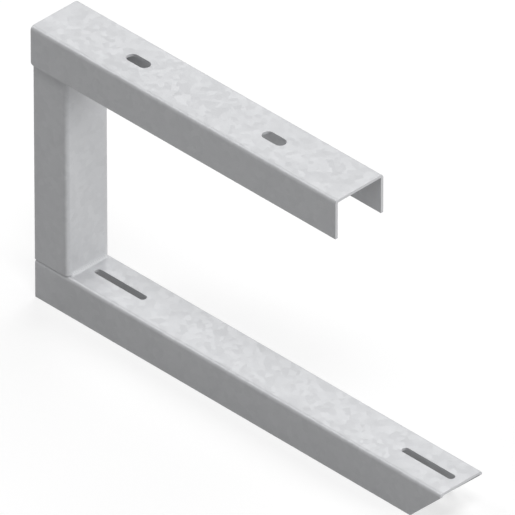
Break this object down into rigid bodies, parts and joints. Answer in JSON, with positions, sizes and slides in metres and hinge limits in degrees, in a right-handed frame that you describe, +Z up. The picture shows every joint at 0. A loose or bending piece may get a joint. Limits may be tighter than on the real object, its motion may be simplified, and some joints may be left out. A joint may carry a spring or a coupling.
{
  "type": "cable tray hanger bracket",
  "caption": "C-shaped ceiling hanger of welded galvanised steel channel: the slotted top arm bolts to a ceiling and the longer slotted lower arm carries a cable tray.",
  "frame": {"origin": "on the ceiling face of the top arm, on the centreline, halfway between its two slots", "axes": "+Z up towards the ceiling, +X along the arms from the post to their free ends, +Y across the bracket's width"},
  "size_m": [0.48, 0.0564, 0.279],
  "materials": {
    "galvanised_steel": "satin galvanised steel sheet",
    "weld_bead": "galvanised weld bead"
  },
  "bodies": {
    "root": {"top_arm": "galvanised_steel", "post": "galvanised_steel", "lower_arm": "galvanised_steel", "foot_weld": "weld_bead", "head_weld": "weld_bead"}
  },
  "joints": []
}
